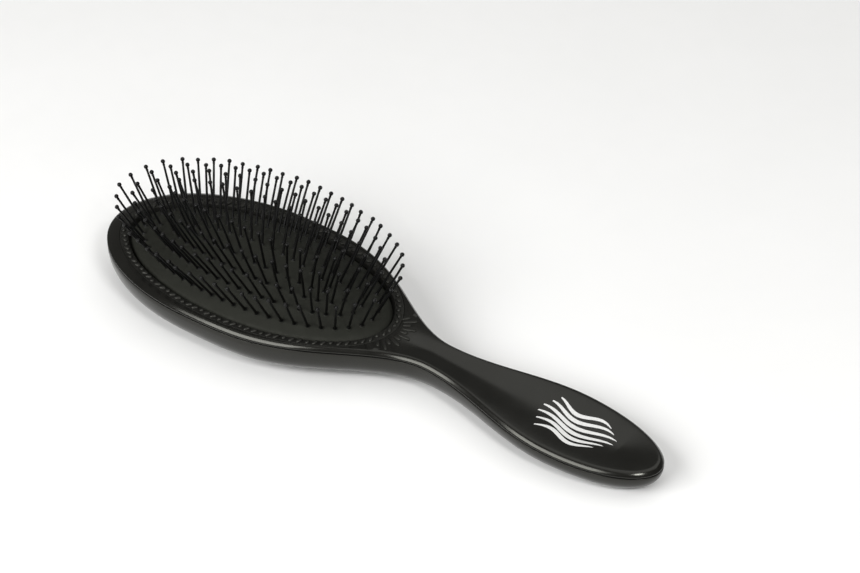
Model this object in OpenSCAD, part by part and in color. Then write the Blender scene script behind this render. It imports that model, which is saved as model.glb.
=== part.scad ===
// Paddle brush with a cushioned oval pad of nylon pins.
// It lies on its back, pins up: +X runs from the head to the end of the handle, +Z is up.
// The origin is on the surface it lies on, under the middle of its length.

/* [Head and handle outline] */
// Overall length
length = 223.5; // [190:0.5:280]
// Width of the head at its widest
head_w = 67; // [64:1:82]
// Distance from the head's tip to its widest place
nose_l = 55.5; // [50:0.5:66]
// Distance from the head's tip to the narrowest place of the neck
neck_x = 137.5; // [132:0.5:160]
// Width of the neck
neck_w = 14.6; // [10:0.2:20]
// Width of the handle at its widest
grip_w = 31.6; // [24:0.2:38]
// Distance from the handle's widest place to its end
grip_end_l = 36; // [26:1:44]
// How long the head keeps its width before the shoulder turns in
shoulder_power = 1.55; // [1.3:0.05:1.9]

/* [Thickness] */
// Height of the rounded edge above the table at the head
head_crest_z = 16.8; // [15:0.2:22]
// Height of the rounded edge at the end of the handle
grip_crest_z = 10.4; // [8:0.2:14]
// Drop of the rounded edge at the head's tip
nose_drop = 0.6; // [0:0.1:1.2]
// How far the neck's back stands off the table
neck_rise = 3.2; // [0:0.1:4]
// Wall of both shells
wall = 2.2; // [1.6:0.02:2.7]
// Depth from the rounded edge down to the parting line
parting_drop = 1.6; // [1.6:0.1:2.8]
// Width of the rounded edge, seen from above
edge_r = 1.3; // [1.2:0.1:2]
// How far the handle's face is hollowed below its edge
face_dish = 0.7; // [0:0.1:1.2]

/* [Pad] */
// Distance from the head's tip to the pad's centre
pad_x = 61.9; // [61.6:0.1:66]
// Length of the domed pad
pad_l = 106; // [96:1:112]
// Width of the domed pad
pad_w = 54; // [44:1:55]
// Height of the dome above its rim
dome_h = 7.6; // [5:0.1:10]
// Thickness of the rubber
rubber_t = 1.5; // [1:0.1:2]
// How far the rubber flange reaches outside the pad
flange_w = 2.9; // [2:0.1:3.2]
// Width of the frame round the pad
frame_w = 3.5; // [3:0.1:4]
// Thickness of the frame at its outer edge
frame_t = 1.1; // [0.8:0.1:1.4]
// Diameter of the vent hole in the middle of the pad
vent_d = 1.2; // [0.8:0.1:2]
// Thickness of the backing plate
plate_t = 1.6; // [1.2:0.1:2]
// Gap between pieces that are fitted together
fit_gap = 0.2; // [0.1:0.05:0.3]

/* [Pins] */
// Distance from the pad's edge to the outer ring of pins
first_ring_inset = 4.8; // [4:0.1:6]
// Distance between rings of pins
ring_pitch = 5.8; // [5:0.1:6.4]
// Spacing of the pins along a ring
pin_pitch = 4.6; // [4.4:0.1:6]
// Length of a pin above the rubber
pin_l = 18.6; // [14:0.2:22]
// Diameter of a pin's shaft
pin_d = 0.85; // [0.7:0.01:1.2]
// Diameter of a pin's ball tip
ball_d = 1.55; // [1.3:0.05:2]
// Diameter of the button head under the rubber
button_d = 2.2; // [1.8:0.1:2.6]
// How fast the pins lean outwards along the head, in degrees a millimetre
lean_along = 0.8; // [0.2:0.05:1]
// How fast the pins lean outwards across the head, in degrees a millimetre
lean_across = 2.9; // [1:0.05:3.2]
// The most that a pin leans
lean_most = 34; // [20:1:36]

/* [Locating pegs] */
// Diameter of a locating peg
peg_d = 3.2; // [2.6:0.1:4]
// Wall of the socket that holds a peg
socket_wall = 1.3; // [1:0.1:1.6]
// How far a peg goes into its socket
peg_depth = 3; // [2:0.1:3.4]

/* [Hidden] */
EPS = 0.01;

RINGS = ["outer", "second", "third", "inner"];
SECTORS = 8;
function pin_node(ring, sector) = str("pins_", RINGS[ring], "_", sector + 1);

// Number of stations along a stretch of the outline, and of points across a surface.
HEAD_STEPS = 36;
FACE_STEPS = 3;
BOWL_STEPS = 10;
OVAL_STEPS = 96;
ARC_STEPS = 180;
// Distance between stations on the handle and on the back. It stays the same when the brush grows, so that
// the two shells follow the outline equally closely.
GRIP_STATION = 4;
BACK_STATION = 3.5;
// Sides of the round pieces.
PEG_SIDES = 48;
PIN_SIDES = 24;
BUTTON_SIDES = 32;
DOME_SIDES = 360;

SHELL_COLOUR = [0.11, 0.11, 0.12];
FRAME_COLOUR = [0.13, 0.13, 0.14];
RUBBER_COLOUR = [0.19, 0.19, 0.20];
PIN_COLOUR = [0.05, 0.05, 0.05];
PLATE_COLOUR = [0.3, 0.3, 0.32];

// ---- Outline. Distances along the brush are from the head's tip ----

// Where the bowl's middle line starts, as a share of nose_l.
BOWL_START = 0.7;
// Where the handle starts to run down, as a share of the length.
FALL_START = 0.4;
NOSE_POWER = 3;

grip_x = length - grip_end_l;
tail_x = length - grip_w / 2;
bowl_start_x = BOWL_START * nose_l;

function ellipse_y(b, t) = b * sqrt(max(0, 1 - t * t));
function blend(a, b, t) = a + (b - a) * (1 - cos(180 * t)) / 2;
function smooth(t) = let (c = max(0, min(1, t))) c * c * (3 - 2 * c);

// Half width of the brush.
function half_w(x) =
  x <= nose_l ? ellipse_y(head_w / 2, (nose_l - x) / nose_l)
  : x <= neck_x ? blend(head_w / 2, neck_w / 2, pow((x - nose_l) / (neck_x - nose_l), shoulder_power))
  : x <= grip_x ? blend(neck_w / 2, grip_w / 2, (x - neck_x) / (grip_x - neck_x))
  : ellipse_y(grip_w / 2, (x - grip_x) / grip_end_l);

// Height of the rounded edge. It drops at the head's tip and runs down along the handle.
function crest_z(x) =
  head_crest_z
  - nose_drop * pow(max(0, 1 - x / nose_l), NOSE_POWER)
  - (head_crest_z - grip_crest_z) * smooth((x / length - FALL_START) / (1 - FALL_START));
function parting_z(x) = crest_z(x) - parting_drop;

// ---- Ovals round the pad, and the heights there, from the edge down ----

pad_a = pad_l / 2;
pad_b = pad_w / 2;
// The opening, the frame and the seat it lies in, as distances outwards from the pad's edge.
frame_gap = 0.45;
frame_clip_w = 0.9;
frame_out = frame_gap + frame_w;
opening_out = frame_gap + frame_clip_w + fit_gap;
seat_out = frame_out + fit_gap;
// How much thicker the rubber is round its rim, and how far the frame's top is below the shell's edge.
RIM_EXTRA = 2.1;
FRAME_SINK = 0.35;
rim_wall = rubber_t + RIM_EXTRA;

frame_top_z = head_crest_z - FRAME_SINK;
face_z = frame_top_z - frame_t;
rim_z = face_z;
flange_t = 1.3;
flange_top_z = face_z - wall - EPS;
flange_bottom_z = flange_top_z - flange_t;
plate_bottom_z = flange_bottom_z - EPS - plate_t;

function oval(grow, angle) = [pad_x + (pad_a + grow) * cos(angle), (pad_b + grow) * sin(angle)];
module oval_plate(grow, z, h) {
  translate([0, 0, z])
    linear_extrude(h) polygon([for (i = [0:OVAL_STEPS - 1]) oval(grow, 360 * i / OVAL_STEPS)]);
}

// ---- Skins ----

// A skin is one polyhedron: a closed profile at each station, in a ring round the brush. A station's line
// runs in from the outline, and the lines of the tail and the head's tip lie on the middle line.
function mix(a, b, t) = a * (1 - t) + b * t;
function inset(outer, inner, d) = mix(outer, inner, min(1, d / norm(inner - outer)));
function side_at(x) = [x, half_w(x)];
function middle_at(x) = [max(bowl_start_x, min(x, tail_x)), 0];
function mirrored(profile) = [for (p = profile) [p[0], -p[1], p[2]]];
function both_sides(side) = concat(side, [for (i = [len(side) - 2:-1:1]) mirrored(side[i])]);

// Faces between neighbouring profiles. The strips from point gap[0] to point gap[1] are left out where `open`
// says so, because there the two sides of the brush meet on the middle line.
function skin_faces(count, size, gap, open) = [
  for (i = [0:count - 1]) for (j = [0:size - 1]) if (!open[i] || j < gap[0] || j >= gap[1])
    let (next = (i + 1) % count, k = (j + 1) % size,
      a = i * size + j, b = i * size + k, c = next * size + k, d = next * size + j)
    each [[a, b, c], [a, c, d]]
];
module skin(profiles, gap, open) {
  polyhedron([for (p = profiles) each p], skin_faces(len(profiles), len(profiles[0]), gap, open));
}

// Front: from the parting line over the rounded edge and in to the opening, then back under the wall to a lip
// that stands inside the back shell. Round the opening the wall is cut down by a seat for the frame.
function lip_at(x) = inset(side_at(x), middle_at(x), wall + fit_gap);
seat_end_x = pad_x + pad_a + seat_out;
EDGE_ANGLES = [0, 25, 50, 75, 90];
ON_HANDLE = -1;
LEAST_FACE = 0.1;
SEAT_WALL = 1.3;
DISH_RUN = 15;
grip_steps = round((length - seat_end_x) / GRIP_STATION);
FRONT_STATIONS = concat(
  [for (i = [0:grip_steps - 1])
    [seat_end_x + (length - seat_end_x) * sin(90 * (1 - i / grip_steps)), ON_HANDLE]],
  [for (i = [0:HEAD_STEPS]) let (angle = 180 * i / HEAD_STEPS)
    [pad_x + (angle < 90 ? seat_end_x - pad_x : pad_x) * cos(angle), angle]]
);

// The outside and the rounded edge, then in over the face to `inner`, at the height `end`.
function front_top(x, inner, end) =
  let (
    outer = side_at(x),
    edge_w = max(EPS, min(edge_r, norm(inner - outer) - LEAST_FACE)),
    edge = inset(outer, inner, edge_w)
  )
  concat(
    [concat(outer, parting_z(x))],
    [for (a = EDGE_ANGLES)
      concat(inset(outer, inner, edge_w * (1 - cos(a))), crest_z(x) - edge_r * (1 - sin(a)))],
    [for (i = [1:FACE_STEPS]) let (f = i / FACE_STEPS)
      concat(mix(edge, inner, f), mix(crest_z(x), end, smooth(f)))]
  );

function handle_profile(x) =
  let (
    inner = middle_at(x),
    end = crest_z(inner[0]) - face_dish * smooth((x - seat_end_x) / DISH_RUN),
    inside = lip_at(x),
    roof = crest_z(x) - wall
  )
  concat(
    front_top(x, inner, end),
    [for (i = [1:2]) concat(inner, end)],
    [for (i = [0:FACE_STEPS - 1]) let (f = i / FACE_STEPS)
      concat(mix(inner, inside, f), mix(end - wall, roof, smooth(f)))],
    [concat(inside, roof), concat(inside, parting_z(x))]
  );

function head_profile(x, angle) =
  let (
    seat = oval(seat_out, angle),
    opening = oval(opening_out, angle),
    inside = lip_at(x),
    flange_edge = inset(opening, inside, flange_w + fit_gap - opening_out),
    low = face_z - wall,
    roof = min(crest_z(x) - wall, face_z - SEAT_WALL)
  )
  concat(
    front_top(x, seat, crest_z(seat[0])),
    [concat(seat, face_z), concat(opening, face_z)],
    [concat(opening, low), concat(flange_edge, low)],
    [concat(mix(flange_edge, inside, 0.5), mix(low, roof, 0.5))],
    [concat(inside, roof), concat(inside, parting_z(x))]
  );
FRONT_SIDE = [for (s = FRONT_STATIONS) s[1] == ON_HANDLE ? handle_profile(s[0]) : head_profile(s[0], s[1])];

// On the handle the two sides meet on the middle line, so the strips from the last point on top to the first
// point underneath are left open there.
front_last_top = len(EDGE_ANGLES) + FACE_STEPS;
FRONT_GAP = [front_last_top, front_last_top + 3];
front_count = 2 * (len(FRONT_STATIONS) - 1);
FRONT_OPEN = [for (i = [0:front_count - 1]) i < grip_steps || i >= front_count - grip_steps];

// Back: a bowl whose section is a rounded square at the head and rounder along the handle. It reaches a hair
// below the table and is cut flat there, so that the brush rests on real faces.
flat_bite = 0.22;
parting_gap = 0.15;
// Where the neck's back stands highest, ahead of the narrowest place, and how far it takes to come down.
NECK_LEAD = 5;
NECK_REACH = 0.27;
// Powers of the bowl's section at the head and along the handle, and where it changes, as shares of the
// length.
HEAD_POWER = 3;
HANDLE_POWER = 2.3;
CHANGE_START = 0.35;
CHANGE_RUN = 0.3;
neck_low_x = neck_x - NECK_LEAD;
neck_reach = NECK_REACH * length;
function neck_lift(x) =
  abs(x - neck_low_x) < neck_reach ? neck_rise * pow(cos(90 * (x - neck_low_x) / neck_reach), 2) : 0;
function bowl_power(x) =
  HEAD_POWER - (HEAD_POWER - HANDLE_POWER) * smooth((x / length - CHANGE_START) / CHANGE_RUN);
function back_profile(x) =
  let (
    outer = side_at(x),
    inner = middle_at(x),
    top = parting_z(x) - parting_gap,
    depth = top - neck_lift(inner[0]) + flat_bite,
    bend = 2 / bowl_power(inner[0]),
    quarter = 90 / BOWL_STEPS
  )
  concat(
    [for (i = [0:BOWL_STEPS]) let (a = quarter * i)
      concat(mix(inner, outer, pow(cos(a), bend)), max(0, top - depth * pow(sin(a), bend)))],
    [for (i = [0:BOWL_STEPS]) let (a = 90 - quarter * i)
      concat(mix(inner, inset(outer, inner, wall), pow(cos(a), bend)),
        top - (depth - flat_bite - wall) * pow(sin(a), bend))]
  );
back_steps = round(length / BACK_STATION);
BACK_SIDE = [for (i = [0:back_steps]) back_profile(length / 2 * (1 - cos(180 * i / back_steps)))];
BACK_GAP = [BOWL_STEPS, BOWL_STEPS + 1];
BACK_OPEN = [for (i = [1:2 * back_steps]) true];

// The plate and the cushion's flange keep clear of the bowl. A point on the bowl's inside at a height, on the
// line of station x, gives how far the pad's oval can grow there, found by halving.
ROOM_STEPS = 48;
HALVINGS = 20;
function bowl_point(x, z) =
  let (
    outer = side_at(x),
    inner = middle_at(x),
    bend = 2 / bowl_power(inner[0]),
    top = parting_z(x) - parting_gap,
    deep = min(1, (top - z) / (top - neck_lift(inner[0]) - wall)),
    share = pow(cos(asin(pow(deep, 1 / bend))), bend)
  )
  mix(inner, inset(outer, inner, wall), share);
function grow_to(p, low, high, n) =
  let (g = (low + high) / 2, across = [(p[0] - pad_x) / (pad_a + g), p[1] / (pad_b + g)])
  n == 0 ? low : norm(across) > 1 ? grow_to(p, g, high, n - 1) : grow_to(p, low, g, n - 1);
function pad_room(z) = min([
  for (i = [0:ROOM_STEPS]) grow_to(bowl_point(seat_end_x * i / ROOM_STEPS, z), -pad_b, pad_b, HALVINGS)
]);
flange_out = min(flange_w, pad_room(flange_bottom_z) - fit_gap);
plate_out = min(flange_w, pad_room(plate_bottom_z) - fit_gap);

// ---- Locating pegs, sockets and the posts under the plate, as [distance from the head's tip, y] ----

// How far the first peg's post is from the seat, and the others' centres from the neck and the widest
// place.
FIRST_PEG_GAP = 1.2;
NECK_PEG_OFFSET = 22;
GRIP_PEG_OFFSET = 6;
// How far below the parting line a peg's post meets its socket, and how far a peg is rooted in its post.
JOINT_DROP = 2.7;
PEG_ROOT = 1;
post_d = peg_d + 2 * socket_wall;
PEGS = [
  [seat_end_x + post_d / 2 + FIRST_PEG_GAP, 0],
  [neck_x + NECK_PEG_OFFSET, 0],
  [grip_x + GRIP_PEG_OFFSET, 0]
];
// The plate's posts stand at these shares of the pad's half length and half width.
POST_ALONG = 0.55;
POST_ACROSS = 0.45;
plate_post_d = 5;
PLATE_POSTS = [
  for (x = [-POST_ALONG, POST_ALONG]) for (y = [-POST_ACROSS, POST_ACROSS]) [pad_x + pad_a * x, pad_b * y]
];
function joint_z(p) = parting_z(p[0]) - JOINT_DROP;
function floor_z(p) = neck_lift(p[0]) + wall / 2;

// ---- Pad and pins ----

// The dome is a patch of a torus, so that its section is a circle both ways.
dome_r_along = (pad_a * pad_a + dome_h * dome_h) / (2 * dome_h);
dome_r_across = (pad_b * pad_b + dome_h * dome_h) / (2 * dome_h);
dome_axis_z = rim_z + dome_h - dome_r_along;
dome_sweep_r = dome_r_along - dome_r_across;
function dome_z(x, y) =
  dome_axis_z + sqrt(pow(dome_sweep_r + sqrt(pow(dome_r_across, 2) - y * y), 2) - x * x);
module dome(grow) {
  intersection() {
    translate([pad_x, 0, dome_axis_z]) rotate([90, 0, 0])
      rotate_extrude($fn = DOME_SIDES)
        translate([dome_sweep_r, 0]) circle(dome_r_across + grow, $fn = DOME_SIDES);
    translate([pad_x - length / 2, -head_w, rim_z]) cube([length, 2 * head_w, 2 * dome_h]);
  }
}

// An oval ring of pins. Across a narrow pad the rings come closer together, so that the inner ring keeps a
// half width of INNER_SHARE of the pins' spacing. The table gives the length along the oval at each angle, so
// that lookup() spaces the pins.
INNER_SHARE = 0.85;
inner_room = pad_b - first_ring_inset - INNER_SHARE * pin_pitch;
ring_pitch_across = min(ring_pitch, inner_room / (len(RINGS) - 1));
function ring_size(ring) =
  [pad_a - first_ring_inset - ring_pitch * ring, pad_b - first_ring_inset - ring_pitch_across * ring];
function arc_table(size, i = 0, so_far = 0) = i > ARC_STEPS ? [] :
  let (
    a = 360 * i / ARC_STEPS,
    b = 360 * (i + 1) / ARC_STEPS,
    step = norm([size[0] * (cos(b) - cos(a)), size[1] * (sin(b) - sin(a))])
  )
  concat([[so_far, a]], arc_table(size, i + 1, so_far + step));
function pin_bases(ring) =
  let (
    size = ring_size(ring),
    table = arc_table(size),
    around = table[ARC_STEPS][0],
    count = 2 * round(around / pin_pitch / 2),
    shift = (ring % 2) / 2
  )
  [for (i = [0:count - 1]) let (a = lookup(around * (i + shift) / count, table),
    x = size[0] * cos(a), y = size[1] * sin(a)) [x, y, dome_z(x, y)]];
PINS = [for (ring = [0:len(RINGS) - 1]) pin_bases(ring)];

// The lean grows from a point near the middle of the pad and levels off.
LEAN_CENTRE_X = 4.6;
function level_off(t) = (exp(2 * t) - 1) / (exp(2 * t) + 1);
function lean(base) =
  let (v = [lean_along * (base[0] - LEAN_CENTRE_X), lean_across * base[1]], size = norm(v))
  v / size * lean_most * level_off(size / lean_most);
function axis_of(base) = let (l = lean(base), size = norm(l))
  [sin(size) * l[0] / size, sin(size) * l[1] / size, cos(size)];
function dome_normal(base) =
  let (n = [base[0] / (base[2] - dome_axis_z), base[1] / sqrt(pow(dome_r_across, 2) - base[1] * base[1]), 1])
  n / norm(n);
module at_pin(base) {
  l = lean(base);
  translate([pad_x + base[0], base[1], base[2]]) rotate(atan2(l[1], l[0])) rotate([0, norm(l), 0]) children();
}

// How far under the rubber's top a pin's button starts, so that it clears the rubber when the pin leans.
pin_gap = 0.05;
button_t = 0.9;
function button_depth(base) = let (tilt = acos(min(1, dome_normal(base) * axis_of(base))))
  rubber_t / cos(tilt) + button_d / 2 * tan(tilt) + pin_gap;

// ---- Sub-parts ----

module front_shell() {
  color(SHELL_COLOUR) brush() {
    skin(both_sides(FRONT_SIDE), FRONT_GAP, FRONT_OPEN);
    for (p = PEGS) {
      roof = crest_z(p[0]) - wall - face_dish;
      translate([p[0], p[1], joint_z(p)])
        cylinder(d = post_d, h = roof + wall / 2 - joint_z(p), $fn = PEG_SIDES);
      translate([p[0], p[1], joint_z(p) - peg_depth])
        cylinder(d = peg_d, h = peg_depth + PEG_ROOT, $fn = PEG_SIDES);
    }
  }
}

module back_shell() {
  color(SHELL_COLOUR) brush() difference() {
    union() {
      skin(both_sides(BACK_SIDE), BACK_GAP, BACK_OPEN);
      for (p = PEGS)
        translate([p[0], p[1], floor_z(p)])
          cylinder(d = post_d, h = joint_z(p) - floor_z(p), $fn = PEG_SIDES);
      for (p = PLATE_POSTS)
        translate([p[0], p[1], floor_z(p)])
          cylinder(d = plate_post_d, h = plate_bottom_z - floor_z(p), $fn = PEG_SIDES);
    }
    for (p = PEGS)
      translate([p[0], p[1], joint_z(p) - peg_depth - fit_gap])
        cylinder(d = peg_d + 2 * pin_gap, h = peg_depth + PEG_ROOT, $fn = PEG_SIDES);
  }
}

// Everything is drawn from the head's tip, then moved so that the origin is under the middle.
module brush() {
  translate([-length / 2, 0, 0]) children();
}

// The frame's top, as [share of its width outwards from the pad, share of its thickness], and how far its
// clip stays above the inside of the front shell's wall. The profile is swept round the oval.
FRAME_TOP = [[0, 0.45], [0.07, 0.62], [0.3, 0.62], [0.74, 0.9], [0.91, 0.85], [1, 0.45]];
CLIP_CLEAR = 0.3;
frame_profile = concat(
  [[frame_gap, CLIP_CLEAR - wall]],
  [for (p = FRAME_TOP) [frame_gap + frame_w * p[0], frame_t * p[1]]],
  [[frame_out, EPS], [frame_gap + frame_clip_w, EPS], [frame_gap + frame_clip_w, CLIP_CLEAR - wall]]
);
FRAME_RING = [
  for (i = [0:OVAL_STEPS - 1])
    [for (p = frame_profile) concat(oval(p[0], -360 * i / OVAL_STEPS), face_z + p[1])]
];
module retaining_frame() {
  color(FRAME_COLOUR) brush() skin(FRAME_RING, [0, 0], [for (i = [1:OVAL_STEPS]) false]);
}

module cushion() {
  color(RUBBER_COLOUR) brush() difference() {
    union() {
      dome(0);
      oval_plate(0, flange_bottom_z, rim_z - flange_bottom_z);
      oval_plate(flange_out, flange_bottom_z, flange_t);
    }
    dome(-rubber_t);
    oval_plate(-rim_wall, flange_bottom_z - 1, rim_z - flange_bottom_z + 1);
    translate([pad_x, 0, rim_z]) cylinder(d = vent_d, h = 2 * dome_h, $fn = PIN_SIDES);
    for (ring = PINS) for (base = ring)
      at_pin(base) cylinder(d = pin_d + 2 * pin_gap, h = 6 * rubber_t, center = true, $fn = PIN_SIDES);
  }
}

module backing_plate() {
  color(PLATE_COLOUR) brush() oval_plate(plate_out, plate_bottom_z, plate_t);
}

module pin(base) {
  depth = button_depth(base);
  at_pin(base) {
    translate([0, 0, -depth - button_t]) cylinder(d = button_d, h = button_t, $fn = BUTTON_SIDES);
    translate([0, 0, -depth - button_t / 2])
      cylinder(d = pin_d, h = pin_l + depth + (button_t - ball_d) / 2, $fn = PIN_SIDES);
    translate([0, 0, pin_l - ball_d / 2]) sphere(d = ball_d, $fn = BUTTON_SIDES);
  }
}

module pin_group(ring, sector) {
  bases = PINS[ring];
  color(PIN_COLOUR) brush()
    for (i = [0:len(bases) - 1]) if (floor(i * SECTORS / len(bases)) == sector) pin(bases[i]);
}

front_shell();
back_shell();
retaining_frame();
cushion();
backing_plate();
for (ring = [0:len(RINGS) - 1]) for (sector = [0:SECTORS - 1])
  pin_group(ring, sector);
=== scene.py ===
"""The looks of a cushioned paddle brush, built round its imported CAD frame.

Lengths are in millimetres until a mesh is made.
"""

import math
import random

import bmesh
import bpy
import numpy as np
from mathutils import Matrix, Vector


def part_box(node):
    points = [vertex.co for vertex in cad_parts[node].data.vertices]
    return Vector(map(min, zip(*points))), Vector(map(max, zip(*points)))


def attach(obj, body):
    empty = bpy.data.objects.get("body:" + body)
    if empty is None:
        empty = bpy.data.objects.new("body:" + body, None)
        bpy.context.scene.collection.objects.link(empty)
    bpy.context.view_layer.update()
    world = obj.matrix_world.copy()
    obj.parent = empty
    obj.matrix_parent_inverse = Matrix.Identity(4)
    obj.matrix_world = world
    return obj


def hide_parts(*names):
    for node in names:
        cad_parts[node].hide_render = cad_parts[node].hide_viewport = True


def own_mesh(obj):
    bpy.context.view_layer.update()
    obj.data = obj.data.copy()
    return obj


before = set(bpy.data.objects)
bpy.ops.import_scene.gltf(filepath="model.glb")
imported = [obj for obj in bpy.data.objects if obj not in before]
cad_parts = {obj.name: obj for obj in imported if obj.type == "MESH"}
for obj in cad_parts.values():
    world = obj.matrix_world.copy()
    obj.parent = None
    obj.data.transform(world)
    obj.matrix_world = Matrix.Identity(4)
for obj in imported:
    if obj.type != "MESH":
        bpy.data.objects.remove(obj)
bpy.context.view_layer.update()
MM = 0.001
rng = random.Random(7)

# ---- Sizes, as the frame has them ----

BODY = "handle_and_head"
shell_low, shell_high = (np.array(c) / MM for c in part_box("front_shell"))
pad_low, pad_high = (np.array(c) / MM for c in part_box("cushion"))
bezel_low, bezel_high = (np.array(c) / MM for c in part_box("retaining_frame"))

LENGTH = shell_high[0] - shell_low[0]
HEAD_W = shell_high[1] - shell_low[1]
NOSE_L = 55.5
NECK_X = 137.5
NECK_W = 14.6
GRIP_W = 31.6
GRIP_END_L = 36.0
SHOULDER_POWER = 1.55
HEAD_CREST_Z = shell_high[2]
GRIP_CREST_Z = 10.4
NOSE_DROP = 0.6
NECK_RISE = 3.2
WALL = 2.2
PARTING_DROP = 1.6
PARTING_GAP = 0.5
EDGE_R = 1.3
FACE_DISH = 0.7
FLAT_BITE = 0.22

FLANGE_W = 2.9
FRAME_GAP = 0.45
FRAME_T = 1.1
PAD_X = (pad_low[0] + pad_high[0]) / 2 - shell_low[0]
PAD_A = (pad_high[0] - pad_low[0]) / 2 - FLANGE_W
PAD_B = (pad_high[1] - pad_low[1]) / 2 - FLANGE_W
FRAME_OUT = (bezel_high[0] - bezel_low[0]) / 2 - PAD_A
FRAME_W = FRAME_OUT - FRAME_GAP
FRAME_CLIP_W = 0.9
FIT_GAP = 0.2
OPENING_OUT = FRAME_GAP + FRAME_CLIP_W + FIT_GAP
SEAT_OUT = FRAME_OUT + FIT_GAP
RUBBER_T = 1.5
DOME_H = 7.6
RIM_Z = pad_high[2] - DOME_H
FACE_Z = RIM_Z

RINGS = ["outer", "second", "third", "inner"]
SECTORS = 8
FIRST_RING_INSET = 4.8
RING_PITCH = 5.8
PIN_PITCH = 4.6
PIN_L = 18.6
BALL_D = 1.55
LEAN_ALONG = 0.8
LEAN_ACROSS = 2.9
LEAN_MOST = 34.0
LEAN_CENTRE_X = 4.6

GRIP_X = LENGTH - GRIP_END_L
TAIL_X = LENGTH - GRIP_W / 2
# The bowl's middle line starts this share of the rounded end back from the head's tip.
BOWL_START = 0.7
BOWL_START_X = BOWL_START * NOSE_L
SEAT_END_X = PAD_X + PAD_A + SEAT_OUT

# ---- The brush's outline and heights. x runs from the head's tip ----

# Where the handle starts to run down, as a share of the length, and how sharply the head's tip drops.
FALL_START = 0.4
NOSE_POWER = 3
# Where the neck's back stands highest, ahead of the narrowest place, and how far it takes to come down.
NECK_LEAD = 5
NECK_REACH = 0.27
# Powers of the bowl's section at the head and along the handle, and where it changes.
HEAD_POWER = 3
HANDLE_POWER = 2.3
CHANGE_START = 0.35
CHANGE_RUN = 0.3


def smooth(t):
    """A soft step from 0 to 1."""
    c = min(1.0, max(0.0, t))
    return c * c * (3 - 2 * c)


def ellipse_y(b, t):
    return b * math.sqrt(max(0.0, 1 - t * t))


def blend(a, b, t):
    return a + (b - a) * (1 - math.cos(math.pi * t)) / 2


def half_w(x):
    if x <= NOSE_L:
        return ellipse_y(HEAD_W / 2, (NOSE_L - x) / NOSE_L)
    if x <= NECK_X:
        return blend(HEAD_W / 2, NECK_W / 2, ((x - NOSE_L) / (NECK_X - NOSE_L)) ** SHOULDER_POWER)
    if x <= GRIP_X:
        return blend(NECK_W / 2, GRIP_W / 2, (x - NECK_X) / (GRIP_X - NECK_X))
    return ellipse_y(GRIP_W / 2, (x - GRIP_X) / GRIP_END_L)


def crest_z(x):
    nose = NOSE_DROP * max(0.0, 1 - x / NOSE_L) ** NOSE_POWER
    fall = smooth((x / LENGTH - FALL_START) / (1 - FALL_START))
    return HEAD_CREST_Z - nose - (HEAD_CREST_Z - GRIP_CREST_Z) * fall


def parting_z(x):
    return crest_z(x) - PARTING_DROP


def neck_lift(x):
    reach = NECK_REACH * LENGTH
    away = abs(x - (NECK_X - NECK_LEAD))
    return NECK_RISE * math.cos(math.pi / 2 * away / reach) ** 2 if away < reach else 0.0


def bowl_power(x):
    return HEAD_POWER - (HEAD_POWER - HANDLE_POWER) * smooth((x / LENGTH - CHANGE_START) / CHANGE_RUN)


def oval(grow, angle):
    return np.array([PAD_X + (PAD_A + grow) * math.cos(angle), (PAD_B + grow) * math.sin(angle)])


def mix(a, b, t):
    return a * (1 - t) + b * t


def inset(outer, inner, d):
    return mix(outer, inner, min(1.0, d / np.linalg.norm(inner - outer)))


def point(xy, z):
    return np.array([xy[0], xy[1], z])


# ---- Meshes ----

def to_frame(points):
    """Points measured from the head's tip in millimetres, in the frame's metres."""
    moved = np.array(points, float).reshape(-1, 3) + [shell_low[0], 0, 0]
    return moved * MM


def make_object(name, points, faces, material, body=BODY, smooth_angle=None):
    mesh = bpy.data.meshes.new(name)
    mesh.from_pydata(to_frame(points).tolist(), [], faces)
    mesh.validate()
    mesh.shade_smooth()
    if smooth_angle is not None:
        mesh.set_sharp_from_angle(angle=math.radians(smooth_angle))
    obj = bpy.data.objects.new(name, mesh)
    bpy.context.scene.collection.objects.link(obj)
    mesh.materials.append(material)
    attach(obj, body)
    return obj


def merge_close(obj, distance=0.0004):
    """Joins the points that two sides of a skin share."""
    work = bmesh.new()
    work.from_mesh(obj.data)
    bmesh.ops.remove_doubles(work, verts=work.verts, dist=distance * MM)
    bmesh.ops.dissolve_degenerate(work, edges=work.edges, dist=distance * MM)
    bmesh.ops.recalc_face_normals(work, faces=work.faces)
    work.to_mesh(obj.data)
    work.free()
    obj.data.shade_smooth()


def mirrored(profile):
    return [np.array([p[0], -p[1], p[2]]) for p in profile]


def both_sides(side):
    return side + [mirrored(side[i]) for i in range(len(side) - 2, 0, -1)]


def ring_faces(count, size, gap=(0, 0), is_open=None):
    """Faces between neighbouring profiles in a closed ring.

    Strips gap[0] to gap[1] are left out where is_open says so.
    """
    faces = []
    for i in range(count):
        for j in range(size):
            if gap[0] <= j < gap[1] and is_open[i]:
                continue
            n, k = (i + 1) % count, (j + 1) % size
            faces.append((i * size + j, i * size + k, n * size + k, n * size + j))
    return faces


def add_strips(faces, first, strips, sides, flip=False):
    """Faces between neighbouring rows of points. Each row is a closed ring with the given number of sides."""
    for r in range(strips):
        for s in range(sides):
            n = (s + 1) % sides
            a = first + r * sides
            b = a + sides
            faces.append((a + s, b + s, b + n, a + n) if flip else (a + s, a + n, b + n, b + s))


def side_at(x):
    return np.array([x, half_w(x)])


def middle_at(x):
    return np.array([max(BOWL_START_X, min(x, TAIL_X)), 0.0])


# ---- Shells ----

EDGE_STEPS = 12
FACE_STEPS = 14
GRIP_STEPS = 90
HEAD_STEPS = 150
BACK_STEPS = 220
BOWL_STEPS = 30
SEAM_BEVEL = 0.05
EDGE_POWER = 1.6
SEAT_BEVEL = 0.06
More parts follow.
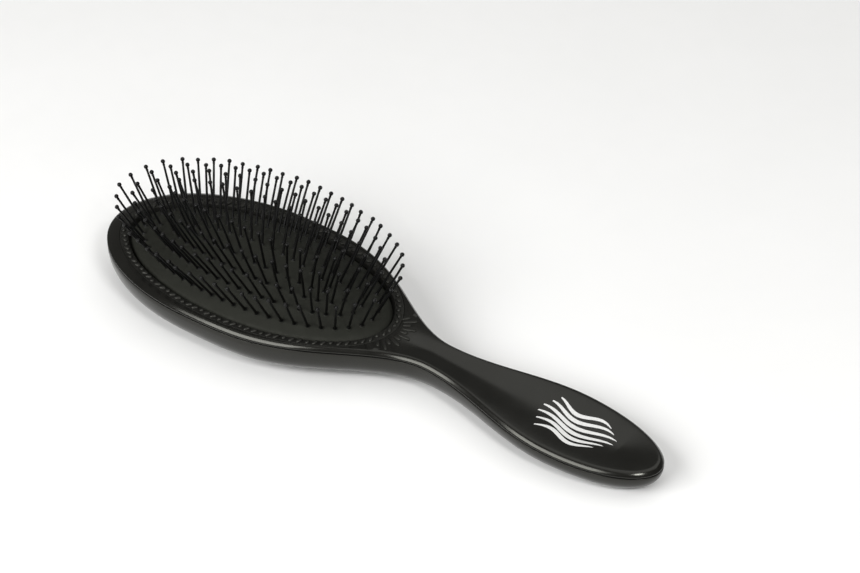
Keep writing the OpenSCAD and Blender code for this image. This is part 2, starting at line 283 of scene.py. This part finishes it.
# The edge is rounded over more of the width at the head's tip, and leaves at least this much flat face.
NOSE_EDGE = 2.6
LEAST_FACE = 0.1
SHELL_CREASE = 50
SEAT_WALL = 1.3
DISH_RUN = 15.0
ON_HANDLE = None


def front_stations():
    """(x, angle on the opening's oval) from the end of the handle to the head's tip."""
    span = LENGTH - SEAT_END_X
    grip = [(SEAT_END_X + span * math.sin(math.pi / 2 * (1 - i / GRIP_STEPS)), ON_HANDLE)
            for i in range(GRIP_STEPS)]
    head = []
    for i in range(HEAD_STEPS + 1):
        angle = math.pi * i / HEAD_STEPS
        reach = SEAT_END_X - PAD_X if angle < math.pi / 2 else PAD_X
        head.append((PAD_X + reach * math.cos(angle), angle))
    head[-1] = (0.0, math.pi)
    return grip + head


def front_top(x, inner, end):
    """The outside and the rounded edge, broader at the head's tip, then in over the face."""
    outer, top = side_at(x), crest_z(x)
    edge_w = min(EDGE_R + NOSE_EDGE * smooth(1 - x / NOSE_L), np.linalg.norm(inner - outer) - LEAST_FACE)
    edge = inset(outer, inner, edge_w)
    points = [point(inset(outer, inner, SEAM_BEVEL), parting_z(x)), point(outer, parting_z(x) + SEAM_BEVEL)]
    for i in range(EDGE_STEPS + 1):
        a = math.pi / 2 * i / EDGE_STEPS
        inwards, up = 1 - math.cos(a) ** EDGE_POWER, math.sin(a) ** EDGE_POWER
        points.append(point(inset(outer, inner, edge_w * inwards), top - EDGE_R * (1 - up)))
    for i in range(1, FACE_STEPS + 1):
        f = i / FACE_STEPS
        points.append(point(mix(edge, inner, f), mix(top, end, smooth(f))))
    return points


def handle_profile(x):
    inner, inside = middle_at(x), inset(side_at(x), middle_at(x), WALL + FIT_GAP)
    end = crest_z(inner[0]) - FACE_DISH * smooth((x - SEAT_END_X) / DISH_RUN)
    points = front_top(x, inner, end) + [point(inner, end)] * 3
    for i in range(FACE_STEPS):
        f = i / FACE_STEPS
        points.append(point(mix(inner, inside, f), mix(end, crest_z(x), smooth(f)) - WALL))
    return points + [point(inside, crest_z(x) - WALL), point(inside, parting_z(x))]


def head_profile(x, angle):
    seat, opening = oval(SEAT_OUT, angle), oval(OPENING_OUT, angle)
    brow = oval(SEAT_OUT + SEAT_BEVEL, angle)
    if angle in (0.0, math.pi):
        seat[1] = opening[1] = brow[1] = 0.0
    if angle == 0.0:
        brow = seat
    inside = inset(side_at(x), middle_at(x), WALL + FIT_GAP)
    flange_edge = inset(opening, inside, FLANGE_W + FIT_GAP - OPENING_OUT)
    low, roof = FACE_Z - WALL, min(crest_z(x) - WALL, FACE_Z - SEAT_WALL)
    points = front_top(x, brow, crest_z(brow[0]))
    points += [point(seat, crest_z(seat[0]) - SEAT_BEVEL), point(seat, FACE_Z), point(opening, FACE_Z)]
    points.append(point(opening, low))
    for i in range(FACE_STEPS - 1):
        f = i / (FACE_STEPS - 1)
        points.append(point(mix(flange_edge, inside, f), mix(low, roof, f)))
    return points + [point(inside, roof), point(inside, parting_z(x))]


def build_front_shell(material):
    stations = front_stations()
    side = [handle_profile(x) if angle is ON_HANDLE else head_profile(x, angle) for x, angle in stations]
    profiles = both_sides(side)
    count = len(profiles)
    is_open = [i < GRIP_STEPS or i >= count - GRIP_STEPS for i in range(count)]
    last_top = 2 + EDGE_STEPS + FACE_STEPS
    points = [p for profile in profiles for p in profile]
    faces = ring_faces(count, len(profiles[0]), (last_top, last_top + 4), is_open)
    shell = make_object("front_shell_moulding", points, faces, material)
    merge_close(shell)
    shell.data.set_sharp_from_angle(angle=math.radians(SHELL_CREASE))
    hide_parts("front_shell")


def back_profile(x):
    outer, inner = side_at(x), middle_at(x)
    top = parting_z(x) - PARTING_GAP
    depth = top - neck_lift(inner[0]) + FLAT_BITE
    bend = 2 / bowl_power(inner[0])
    points = [point(inset(outer, inner, SEAM_BEVEL), top)]
    for i in range(BOWL_STEPS + 1):
        a = math.pi / 2 * i / BOWL_STEPS
        share = math.cos(a) ** bend if i < BOWL_STEPS else 0.0
        z = max(0.0, top - depth * math.sin(a) ** bend)
        points.append(point(mix(inner, outer, share), z - SEAM_BEVEL if i == 0 else min(z, top - SEAM_BEVEL)))
    inside = inset(outer, inner, WALL)
    for i in range(BOWL_STEPS, -1, -1):
        a = math.pi / 2 * i / BOWL_STEPS
        share = math.cos(a) ** bend if i < BOWL_STEPS else 0.0
        z = top - (depth - FLAT_BITE - WALL) * math.sin(a) ** bend
        points.append(point(mix(inner, inside, share), z))
    return points


def build_back_shell(material):
    stations = [LENGTH / 2 * (1 - math.cos(math.pi * i / BACK_STEPS)) for i in range(BACK_STEPS + 1)]
    profiles = both_sides([back_profile(x) for x in stations])
    count = len(profiles)
    points = [p for profile in profiles for p in profile]
    faces = ring_faces(count, len(profiles[0]), (BOWL_STEPS + 1, BOWL_STEPS + 2), [True] * count)
    shell = make_object("back_shell_moulding", points, faces, material)
    merge_close(shell)
    shell.data.set_sharp_from_angle(angle=math.radians(SHELL_CREASE))
    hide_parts("back_shell")


# ---- Frame round the pad, with its raised pattern ----

BEZEL_STATIONS = 400
BEZEL_CORNER = 0.12
BEZEL_CREASE = 40
# The top curves down to the pad with this power.
BEZEL_POWER = 0.7
# Each third ridge is a short one.
DASH_PITCH = 2.7
DASH_LONG = 2.8
DASH_SHORT = 1.8
DASH_W = 1.5
DASH_H = 0.65
DASH_SLANT = 1.1
# Where the ridges stand, as a share of the frame's width, and how far the short ones step aside.
DASH_PLACE = 0.56
DASH_STEP = 0.35


def round_corners(points, radius, steps=4):
    """A closed profile with each corner turned into a short curve."""
    out = []
    for i, corner in enumerate(points):
        before, after = points[i - 1], points[(i + 1) % len(points)]
        r = min(radius, np.linalg.norm(before - corner) * 0.45, np.linalg.norm(after - corner) * 0.45)
        start = corner + (before - corner) / np.linalg.norm(before - corner) * r
        stop = corner + (after - corner) / np.linalg.norm(after - corner) * r
        for k in range(steps + 1):
            t = k / steps
            out.append(start * (1 - t) ** 2 + corner * 2 * t * (1 - t) + stop * t * t)
    return out


def bezel_top(outwards, angle):
    """Height of the frame's top. Its outer edge is flush with the shell, and it falls towards the pad."""
    outer = crest_z(oval(FRAME_OUT, angle)[0]) - 0.05
    inner = FACE_Z + FRAME_T * 0.5
    share = (outwards - FRAME_GAP) / FRAME_W
    return inner + (outer - inner) * share ** BEZEL_POWER


def bezel_profile(angle):
    """(outwards from the pad's edge, height above the table)."""
    corners = [(FRAME_GAP, FACE_Z - WALL + 0.3), (FRAME_GAP, FACE_Z - 0.9)]
    corners += [(g, bezel_top(g, angle)) for g in (FRAME_GAP + 0.6, FRAME_GAP + 1.3, FRAME_OUT - 1.2)]
    corners += [(FRAME_OUT + 0.1, bezel_top(FRAME_OUT, angle)), (FRAME_OUT + 0.1, FACE_Z + 0.01)]
    corners += [(FRAME_GAP + FRAME_CLIP_W, FACE_Z + 0.01), (FRAME_GAP + FRAME_CLIP_W, FACE_Z - WALL + 0.3)]
    return round_corners([np.array(c) for c in corners], BEZEL_CORNER)


def add_ridge(points, faces, centre, along, length, width, height):
    """Adds a low rounded ridge, lying along a direction in plan."""
    rings, sides = 5, 14
    along = np.array(along) / np.linalg.norm(along)
    across = np.array([-along[1], along[0]])
    first = len(points)
    for r in range(rings):
        lift = math.pi / 2 * r / rings
        spread = math.cos(lift) ** 0.7
        for s in range(sides):
            a = 2 * math.pi * s / sides
            round_end = np.array([math.copysign(abs(math.cos(a)) ** 0.6, math.cos(a)), math.sin(a)])
            xy = centre[:2] + along * length / 2 * round_end[0] * spread
            xy = xy + across * width / 2 * round_end[1] * spread
            points.append(point(xy, centre[2] + height * (math.sin(lift) * 1.25 - 0.25)))
    points.append(point(centre[:2], centre[2] + height))
    add_strips(faces, first, rings - 1, sides)
    last = first + (rings - 1) * sides
    for s in range(sides):
        faces.append((last + s, last + (s + 1) % sides, len(points) - 1))


def spaced_angles(a, b, pitch, shift=0.0):
    """Angles evenly spaced along an oval of semi-axes a and b."""
    t = np.linspace(0, 2 * math.pi, 181)
    run = np.concatenate([[0], np.cumsum(np.hypot(np.diff(a * np.cos(t)), np.diff(b * np.sin(t))))])
    count = 2 * round(run[-1] / pitch / 2)
    return [float(np.interp(run[-1] * (i + shift) / count, run, t)) for i in range(count)]


def build_bezel(material):
    points = []
    for i in range(BEZEL_STATIONS):
        angle = 2 * math.pi * i / BEZEL_STATIONS
        profile = bezel_profile(angle)
        points += [point(oval(p[0], angle), p[1]) for p in profile]
    faces = ring_faces(BEZEL_STATIONS, len(profile))
    middle = FRAME_GAP + FRAME_W * DASH_PLACE
    for k, angle in enumerate(spaced_angles(PAD_A + middle, PAD_B + middle, DASH_PITCH)):
        outwards = oval(middle + 1, angle) - oval(middle, angle)
        tangent = oval(middle, angle + 0.01) - oval(middle, angle - 0.01)
        slant = outwards / np.linalg.norm(outwards) - DASH_SLANT * tangent / np.linalg.norm(tangent)
        long_one = k % 3 != 1
        shift = 0.0 if long_one else (DASH_STEP if k % 2 else -DASH_STEP)
        centre = point(oval(middle + shift, angle), bezel_top(middle + shift, angle))
        add_ridge(points, faces, centre, slant, DASH_LONG if long_one else DASH_SHORT, DASH_W, DASH_H)
    bezel = make_object("pad_frame_moulding", points, faces, material, smooth_angle=BEZEL_CREASE)
    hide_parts("retaining_frame")


# ---- Raised ribs at the neck end of the head ----

RIB_PAIRS = 5
RIB_HUB_BACK = 8.0
RIB_SPREAD = 9.5
# The ribs are long and short in turn, and the long ones reach further out.
RIB_REACH = (11.9, 10.9)
RIB_L = (5.4, 3.2)
RIB_W = 1.3
RIB_H = 0.34
RIB_CREASE = 60


def face_z_at(x, y):
    """Height of the front face beyond the opening."""
    end = crest_z(min(x, TAIL_X)) - FACE_DISH * smooth((x - SEAT_END_X) / DISH_RUN)
    share = 1 - abs(y) / (half_w(x) - EDGE_R)
    return mix(crest_z(x), end, smooth(share))


def build_neck_ribs(material):
    points, faces = [], []
    hub = np.array([SEAT_END_X - RIB_HUB_BACK, 0.0])
    for k in range(-RIB_PAIRS, RIB_PAIRS + 1):
        angle = math.radians(RIB_SPREAD * k)
        direction = np.array([math.cos(angle), math.sin(angle)])
        xy = hub + direction * RIB_REACH[k % 2]
        centre = point(xy, face_z_at(xy[0], xy[1]))
        add_ridge(points, faces, centre, direction, RIB_L[k % 2], RIB_W, RIB_H)
    ribs = make_object("neck_ribs", points, faces, material, smooth_angle=RIB_CREASE)


# ---- Rubber membrane ----

DOME_R_ALONG = (PAD_A ** 2 + DOME_H ** 2) / (2 * DOME_H)
DOME_R_ACROSS = (PAD_B ** 2 + DOME_H ** 2) / (2 * DOME_H)
DOME_AXIS_Z = RIM_Z + DOME_H - DOME_R_ALONG
RIM_ROUND_FROM = 0.958
RIM_ROUND = 1.2
MEMBRANE_SIDES = 260
MEMBRANE_ROWS = 54
UNDER_ROWS = 24
RIM_EXTRA = 2.1
RIM_WALL = RUBBER_T + RIM_EXTRA
FLANGE_T = 1.3
COLLAR_SIDES = 18
MEMBRANE_CREASE = 55


def dome_z(x, y, grow=0.0):
    """Height of the dome, x from the pad's centre."""
    across = math.sqrt(max(0.0, (DOME_R_ACROSS + grow) ** 2 - y * y))
    return DOME_AXIS_Z + math.sqrt((DOME_R_ALONG - DOME_R_ACROSS + across) ** 2 - x * x)


def dome_normal(x, y):
    n = np.array([x / (dome_z(x, y) - DOME_AXIS_Z), y / math.sqrt(DOME_R_ACROSS ** 2 - y * y), 1.0])
    return n / np.linalg.norm(n)


def membrane_rows():
    """Rows of (x, y, height) from the middle out and back. A height of None means the dome's own."""
    flange_top = FACE_Z - WALL - 0.01
    flange_low = flange_top - FLANGE_T
    rows = []
    for i in range(1, MEMBRANE_ROWS + 1):
        share = math.sin(math.pi / 2 * i / MEMBRANE_ROWS)
        rows.append([(share * PAD_A * math.cos(t), share * PAD_B * math.sin(t), None) for t in ring_angles()])
    rim_steps = [(0.0, RIM_Z - RIM_ROUND - 0.1), (0.0, flange_top), (FLANGE_W, flange_top)]
    rim_steps += [(FLANGE_W, flange_low), (-RIM_WALL, flange_low), (-RIM_WALL, RIM_Z - 0.3)]
    for grow, z in rim_steps:
        rows.append([((PAD_A + grow) * math.cos(t), (PAD_B + grow) * math.sin(t), z) for t in ring_angles()])
    return rows


def ring_angles():
    return [2 * math.pi * i / MEMBRANE_SIDES for i in range(MEMBRANE_SIDES)]


def rounded_dome_z(x, y):
    """Height of the dome, with its edge rolled down."""
    rim = max(0.0, (math.hypot(x / PAD_A, y / PAD_B) - RIM_ROUND_FROM) / (1 - RIM_ROUND_FROM))
    return dome_z(x, y) - RIM_ROUND * (1 - math.sqrt(max(0.0, 1 - rim * rim)))


def build_membrane(material, bases):
    points = [point((PAD_X, 0), dome_z(0, 0))]
    for row in membrane_rows():
        for x, y, z in row:
            points.append(point((PAD_X + x, y), rounded_dome_z(x, y) if z is None else z))
    faces = [(0, 1 + i, 1 + (i + 1) % MEMBRANE_SIDES) for i in range(MEMBRANE_SIDES)]
    rows = (len(points) - 1) // MEMBRANE_SIDES
    add_strips(faces, 1, rows - 1, MEMBRANE_SIDES, flip=True)
    # The underside closes the skin, set in from the top by the rubber's thickness.
    under_from = len(points) - MEMBRANE_SIDES
    for r in range(UNDER_ROWS, 0, -1):
        share = r / UNDER_ROWS
        for t in ring_angles():
            x, y = share * (PAD_A - RIM_WALL) * math.cos(t), share * (PAD_B - RIM_WALL) * math.sin(t)
            points.append(point((PAD_X + x, y), dome_z(x, y, -RUBBER_T)))
    points.append(point((PAD_X, 0), dome_z(0, 0, -RUBBER_T)))
    add_strips(faces, under_from, UNDER_ROWS, MEMBRANE_SIDES, flip=True)
    last = under_from + UNDER_ROWS * MEMBRANE_SIDES
    faces += [(last + i, len(points) - 1, last + (i + 1) % MEMBRANE_SIDES) for i in range(MEMBRANE_SIDES)]
    for base in bases:
        up = dome_normal(base[0], base[1])
        add_lathe(points, faces, base_point(base), up, COLLAR_PROFILE, COLLAR_SIDES)
    membrane = make_object("pad_membrane", points, faces, material, smooth_angle=MEMBRANE_CREASE)
    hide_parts("cushion")
    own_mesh(membrane)


# ---- Pins ----

# (radius, distance along the pin): the rubber collar; the pin's shank under the rubber with a wide black disc
# at its base, which is painted shade; and its tapered shaft.
COLLAR_PROFILE = [(1.15, -0.12), (1.02, 0.08), (0.84, 0.24), (0.66, 0.32), (0.56, 0.32), (0.5, 0.1)]
# The wide black disc at the pin's base is painted shade: a dark ring on the rubber that stands for the
# shadowed hole round each pin.
SHANK_AND_HOLE_SHADE_PROFILE = [(0.46, -2.6), (0.46, -0.3), (0.8, -0.3), (0.8, 0.24), (0.7, 0.42), (0.5, 0.54)]
SHAFT_PROFILE = [(0.45, 0.9), (0.44, 3.0), (0.42, 9.0), (0.39, PIN_L - 3.2)]
PIN_NECK_R = 0.38
PIN_SIDES = 14
BALL_STEPS = 8
PIN_CREASE = 70
# How far a pin's tip strays sideways from straight, as a standard deviation.
PIN_BEND = 0.3
ZONES = {"ends": (0, 3, 4, 7), "sides": (1, 2, 5, 6)}


def pin_profile():
    """(radius, distance along the pin) from under the rubber to the ball's top."""
    neck, ball = PIN_NECK_R, BALL_D / 2
    start = math.asin(neck / ball)
    centre = PIN_L - ball
    profile = SHANK_AND_HOLE_SHADE_PROFILE + SHAFT_PROFILE
    profile += [(neck, centre - ball * 2.1), (neck * 1.25, centre - ball * 1.45)]
    for i in range(BALL_STEPS + 1):
        a = math.pi - start - (math.pi - start) * i / BALL_STEPS
        profile.append((max(0.001, ball * math.sin(a)), centre + ball * math.cos(a)))
    return profile


def ring_bases(ring):
    """Bases of a ring's pins, x from the pad's centre."""
    inset_by = FIRST_RING_INSET + RING_PITCH * ring
    a, b = PAD_A - inset_by, PAD_B - inset_by
    return [(a * math.cos(t), b * math.sin(t)) for t in spaced_angles(a, b, PIN_PITCH, (ring % 2) / 2)]


def base_point(base):
    return np.array([PAD_X + base[0], base[1], dome_z(base[0], base[1])])


def pin_axis(base):
    v = np.array([LEAN_ALONG * (base[0] - LEAN_CENTRE_X), LEAN_ACROSS * base[1]])
    size = np.linalg.norm(v)
    lean = LEAN_MOST * math.tanh(size / LEAN_MOST)
    side = v / size * math.sin(math.radians(lean))
    return np.array([side[0], side[1], math.cos(math.radians(lean))])


def add_lathe(points, faces, origin, axis, profile, sides, bend=None):
    """Adds a turned shape.

    profile is (radius, distance along the axis), and bend moves the shape sideways along its length.
    """
    side = np.cross(axis, [0.0, 1.0, 0.3])
    side /= np.linalg.norm(side)
    other = np.cross(axis, side)
    first = len(points)
    for radius, z in profile:
        drift = np.zeros(3) if bend is None else bend * max(0.0, z / PIN_L) ** 2
        for s in range(sides):
            a = 2 * math.pi * s / sides
            points.append(origin + axis * z + drift + (side * math.cos(a) + other * math.sin(a)) * radius)
    add_strips(faces, first, len(profile) - 1, sides)


def build_pins(material):
    """One piece for each CAD node of pins. Each pin bends a little its own way."""
    profile = pin_profile()
    for ring, ring_name in enumerate(RINGS):
        bases = ring_bases(ring)
        for sector in range(SECTORS):
            points, faces = [], []
            for i, base in enumerate(bases):
                if i * SECTORS // len(bases) != sector:
                    continue
                bend = np.array([rng.gauss(0, PIN_BEND), rng.gauss(0, PIN_BEND), 0.0])
                add_lathe(points, faces, base_point(base), pin_axis(base), profile, PIN_SIDES, bend)
            node = f"pins_{ring_name}_{sector + 1}"
            zone = next(z for z, sectors in ZONES.items() if sector in sectors)
            body = f"pins_{ring_name}_{zone}"
            pins = make_object(node + "_nylon", points, faces, material, body, smooth_angle=PIN_CREASE)
            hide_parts(node)


# ---- Printed mark: a sheaf of wavy strands ----

MARK_X = 191.5
MARK_HALF_L = 15
MARK_STRANDS = 6
MARK_STEPS = 70
MARK_PITCH = 2.9
MARK_HALF_W = 0.8
MARK_WAVE = 1.5
# The outer strands start and stop short of the middle ones by these steps.
MARK_START_STEP = 1.5
MARK_STOP_STEP = 2.2
INK_T = 0.02


def build_print(material):
    points, faces = [], []
    for k in range(MARK_STRANDS):
        off = k - (MARK_STRANDS - 1) / 2
        start = MARK_X - MARK_HALF_L + MARK_START_STEP * abs(off)
        stop = MARK_X + MARK_HALF_L - MARK_STOP_STEP * abs(off)
        first = len(points)
        for i in range(MARK_STEPS + 1):
            t = i / MARK_STEPS
            x = start + (stop - start) * t
            y = MARK_PITCH * off * (1.0 - 0.2 * t) + MARK_WAVE * math.sin(2 * math.pi * (1.15 * t + 0.06 * k))
            half = MARK_HALF_W * math.sin(math.pi * min(1.0, 0.05 + 0.95 * t)) ** 0.6 + 0.03
            for side in (-1, 1):
                points.append(point((x, y + side * half), face_z_at(x, y + side * half) + INK_T))
        for a in range(first, first + 2 * MARK_STEPS, 2):
            faces.append((a, a + 2, a + 3, a + 1))
    mark = make_object("handle_print", points, faces, material)


# ---- Materials ----

# The black pieces reflect a little less blue.
OLIVE_TINT = (1.0, 1.0, 0.91, 1)


class Nodes:
    """A short way to write a material's nodes."""

    def __init__(self, name):
        self.material = bpy.data.materials.new(name)
        self.material.use_nodes = True
        self.tree = self.material.node_tree
        self.shader = self.tree.nodes["Principled BSDF"]
        self.where = self.add("ShaderNodeTexCoord").outputs["Object"]

    def add(self, kind, **inputs):
        node = self.tree.nodes.new(kind)
        for key, value in inputs.items():
            node.inputs[key.replace("_", " ")].default_value = value
        return node

    def link(self, a, b):
        self.tree.links.new(a, b)

    def noise(self, size_mm, detail=3.0, roughness=0.5, stretch=None):
        """Noise whose blobs are about size_mm across."""
        node = self.add("ShaderNodeTexNoise", Scale=1.0 / (size_mm * MM), Detail=detail, Roughness=roughness)
        if stretch is None:
            self.link(self.where, node.inputs["Vector"])
        else:
            mapping = self.add("ShaderNodeMapping", Scale=stretch)
            self.link(self.where, mapping.inputs["Vector"])
            self.link(mapping.outputs["Vector"], node.inputs["Vector"])
        return node.outputs["Fac"]

    def range(self, value, low, high, from_low=0.3, from_high=0.7):
        node = self.add("ShaderNodeMapRange", From_Min=from_low, From_Max=from_high, To_Min=low, To_Max=high)
        self.link(value, node.inputs["Value"])
        return node.outputs["Result"]

    def colours(self, value, low, high):
        ramp = self.add("ShaderNodeValToRGB")
        ramp.color_ramp.elements[0].position = 0.3
        ramp.color_ramp.elements[1].position = 0.7
        ramp.color_ramp.elements[0].color = (*low, 1)
        ramp.color_ramp.elements[1].color = (*high, 1)
        self.link(value, ramp.inputs["Fac"])
        self.link(ramp.outputs["Color"], self.shader.inputs["Base Color"])

    def gloss(self, level):
        self.shader.inputs["Specular IOR Level"].default_value = level
        self.shader.inputs["Specular Tint"].default_value = OLIVE_TINT

    def bump(self, value, depth_mm, strength=1.0, under=None):
        node = self.add("ShaderNodeBump", Strength=strength, Distance=depth_mm * MM)
        self.link(value, node.inputs["Height"])
        if under is not None:
            self.link(under, node.inputs["Normal"])
        return node.outputs["Normal"]


def shell_material():
    """Satin black plastic: a faint moulding texture, with slow changes in gloss from handling."""
    n = Nodes("satin_black_plastic")
    n.colours(n.noise(14, 4), (0.0055, 0.0054, 0.0048), (0.0080, 0.0078, 0.0070))
    n.link(n.range(n.noise(9, 5, 0.6), 0.14, 0.19), n.shader.inputs["Roughness"])
    n.gloss(0.38)
    fine = n.bump(n.noise(0.35, 2), 0.006, 0.5)
    n.link(n.bump(n.noise(5, 2), 0.02, 0.35, fine), n.shader.inputs["Normal"])
    return n.material


def bezel_material():
    n = Nodes("satin_black_frame")
    n.colours(n.noise(6, 4), (0.0055, 0.0054, 0.0048), (0.0080, 0.0078, 0.0070))
    n.link(n.range(n.noise(3, 4), 0.38, 0.5), n.shader.inputs["Roughness"])
    n.gloss(0.36)
    n.link(n.bump(n.noise(0.3, 2), 0.008, 0.6), n.shader.inputs["Normal"])
    return n.material


def rubber_material():
    """Matt rubber with a fine grain and a little dust in it."""
    n = Nodes("matt_grey_rubber")
    n.colours(n.noise(4, 6, 0.65), (0.0100, 0.0105, 0.0080), (0.0150, 0.0158, 0.0125))
    n.link(n.range(n.noise(2, 4), 0.62, 0.8), n.shader.inputs["Roughness"])
    n.gloss(0.25)
    fine = n.bump(n.noise(0.22, 3), 0.012, 0.7)
    n.link(n.bump(n.noise(3, 2), 0.03, 0.3, fine), n.shader.inputs["Normal"])
    return n.material


def nylon_material():
    n = Nodes("black_nylon")
    n.colours(n.noise(3, 3), (0.0025, 0.0025, 0.0024), (0.0045, 0.0045, 0.0043))
    n.link(n.range(n.noise(1.2, 3), 0.32, 0.44), n.shader.inputs["Roughness"])
    n.shader.inputs["Specular IOR Level"].default_value = 0.2
    n.link(n.bump(n.noise(0.4, 2, stretch=(1, 1, 0.2)), 0.008, 0.5), n.shader.inputs["Normal"])
    return n.material


def ink_material():
    n = Nodes("white_ink")
    n.colours(n.noise(0.8, 5, 0.7), (0.60, 0.60, 0.59), (0.74, 0.74, 0.73))
    n.link(n.range(n.noise(0.5, 3), 0.42, 0.56), n.shader.inputs["Roughness"])
    n.link(n.bump(n.noise(0.25, 2), 0.01, 0.5), n.shader.inputs["Normal"])
    return n.material


def plate_material():
    n = Nodes("moulded_grey_plastic")
    n.colours(n.noise(5, 4), (0.035, 0.035, 0.037), (0.05, 0.05, 0.053))
    n.link(n.range(n.noise(2, 3), 0.45, 0.6), n.shader.inputs["Roughness"])
    n.link(n.bump(n.noise(0.4, 2), 0.01, 0.6), n.shader.inputs["Normal"])
    return n.material


def paper_material():
    n = Nodes("white_sweep")
    n.colours(n.noise(60, 3), (0.86, 0.86, 0.855), (0.875, 0.875, 0.87))
    n.link(n.range(n.noise(8, 3), 0.55, 0.7), n.shader.inputs["Roughness"])
    n.link(n.bump(n.noise(0.6, 2), 0.01, 0.3), n.shader.inputs["Normal"])
    return n.material


# ---- Stage, light and camera ----

CAMERA_AZIMUTH = 35.93
CAMERA_ELEVATION = 37.72
CAMERA_RANGE = 865.2
CAMERA_SHIFT = (18.95, 16.55)
CAMERA_LENS = 108.3
AIM = (-1.25, 0.0, 10.0)
WORLD_COLOUR = (1.0, 0.99, 0.93, 1)
WORLD_STRENGTH = 0.16

# The floor lies a hair below the brush, so that the two faces don't coincide.
FLOOR_HALF = 3000
FLOOR_GAP = 0.03


def build_floor(material):
    half, z = FLOOR_HALF, -FLOOR_GAP
    points = [(-half, -half, z), (half, -half, z), (half, half, z), (-half, half, z)]
    mesh = bpy.data.meshes.new("floor")
    mesh.from_pydata([tuple(c * MM for c in p) for p in points], [], [(0, 1, 2, 3)])
    mesh.materials.append(material)
    floor = bpy.data.objects.new("floor", mesh)
    bpy.context.scene.collection.objects.link(floor)


def area_light(name, place, target, size, watts):
    data = bpy.data.lights.new(name, "AREA")
    data.shape = "RECTANGLE"
    data.size, data.size_y = size
    data.energy = watts
    light = bpy.data.objects.new(name, data)
    light.location = place
    light.rotation_euler = (Vector(target) - Vector(place)).to_track_quat("-Z", "Y").to_euler()
    bpy.context.scene.collection.objects.link(light)


def build_lights():
    """Softboxes given by place and target in metres, size in metres and power in watts."""
    world = bpy.data.worlds.new("studio")
    world.use_nodes = True
    world.node_tree.nodes["Background"].inputs["Color"].default_value = WORLD_COLOUR
    world.node_tree.nodes["Background"].inputs["Strength"].default_value = WORLD_STRENGTH
    bpy.context.scene.world = world
    area_light("front_softbox", (-0.22, -0.95, 0.72), (0, 0, 0), (1.0, 0.55), 14.5)
    area_light("right_softbox", (0.78, -0.45, 0.93), (0, 0, 0), (0.28, 0.22), 6.0)
    area_light("overhead_softbox", (0.1, 0.4, 1.6), (0, 0.1, 0), (2.0, 2.2), 12.8)


def build_camera():
    a, e = math.radians(CAMERA_AZIMUTH), math.radians(CAMERA_ELEVATION)
    back = Vector((math.sin(a) * math.cos(e), -math.cos(a) * math.cos(e), math.sin(e)))
    right = Vector((math.cos(a), math.sin(a), 0))
    up = back.cross(right)
    data = bpy.data.cameras.new("camera")
    data.lens = CAMERA_LENS
    data.sensor_width = 36.0
    data.clip_start, data.clip_end = 0.05, 20
    camera = bpy.data.objects.new("camera", data)
    shift = right * CAMERA_SHIFT[0] + up * CAMERA_SHIFT[1]
    camera.location = (Vector(AIM) + back * CAMERA_RANGE + shift) * MM
    camera.rotation_mode = "QUATERNION"
    camera.rotation_quaternion = (-back).to_track_quat("-Z", "Y")
    bpy.context.scene.collection.objects.link(camera)
    bpy.context.scene.camera = camera


build_camera()
build_floor(paper_material())
build_lights()
bpy.context.scene.view_settings.view_transform = "Standard"

shell = shell_material()
build_front_shell(shell)
build_back_shell(shell)
bezel = bezel_material()
build_neck_ribs(bezel)
build_bezel(bezel)
build_membrane(rubber_material(), [b for ring in range(len(RINGS)) for b in ring_bases(ring)])
build_pins(nylon_material())
build_print(ink_material())
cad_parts["backing_plate"].data.materials[0] = plate_material()
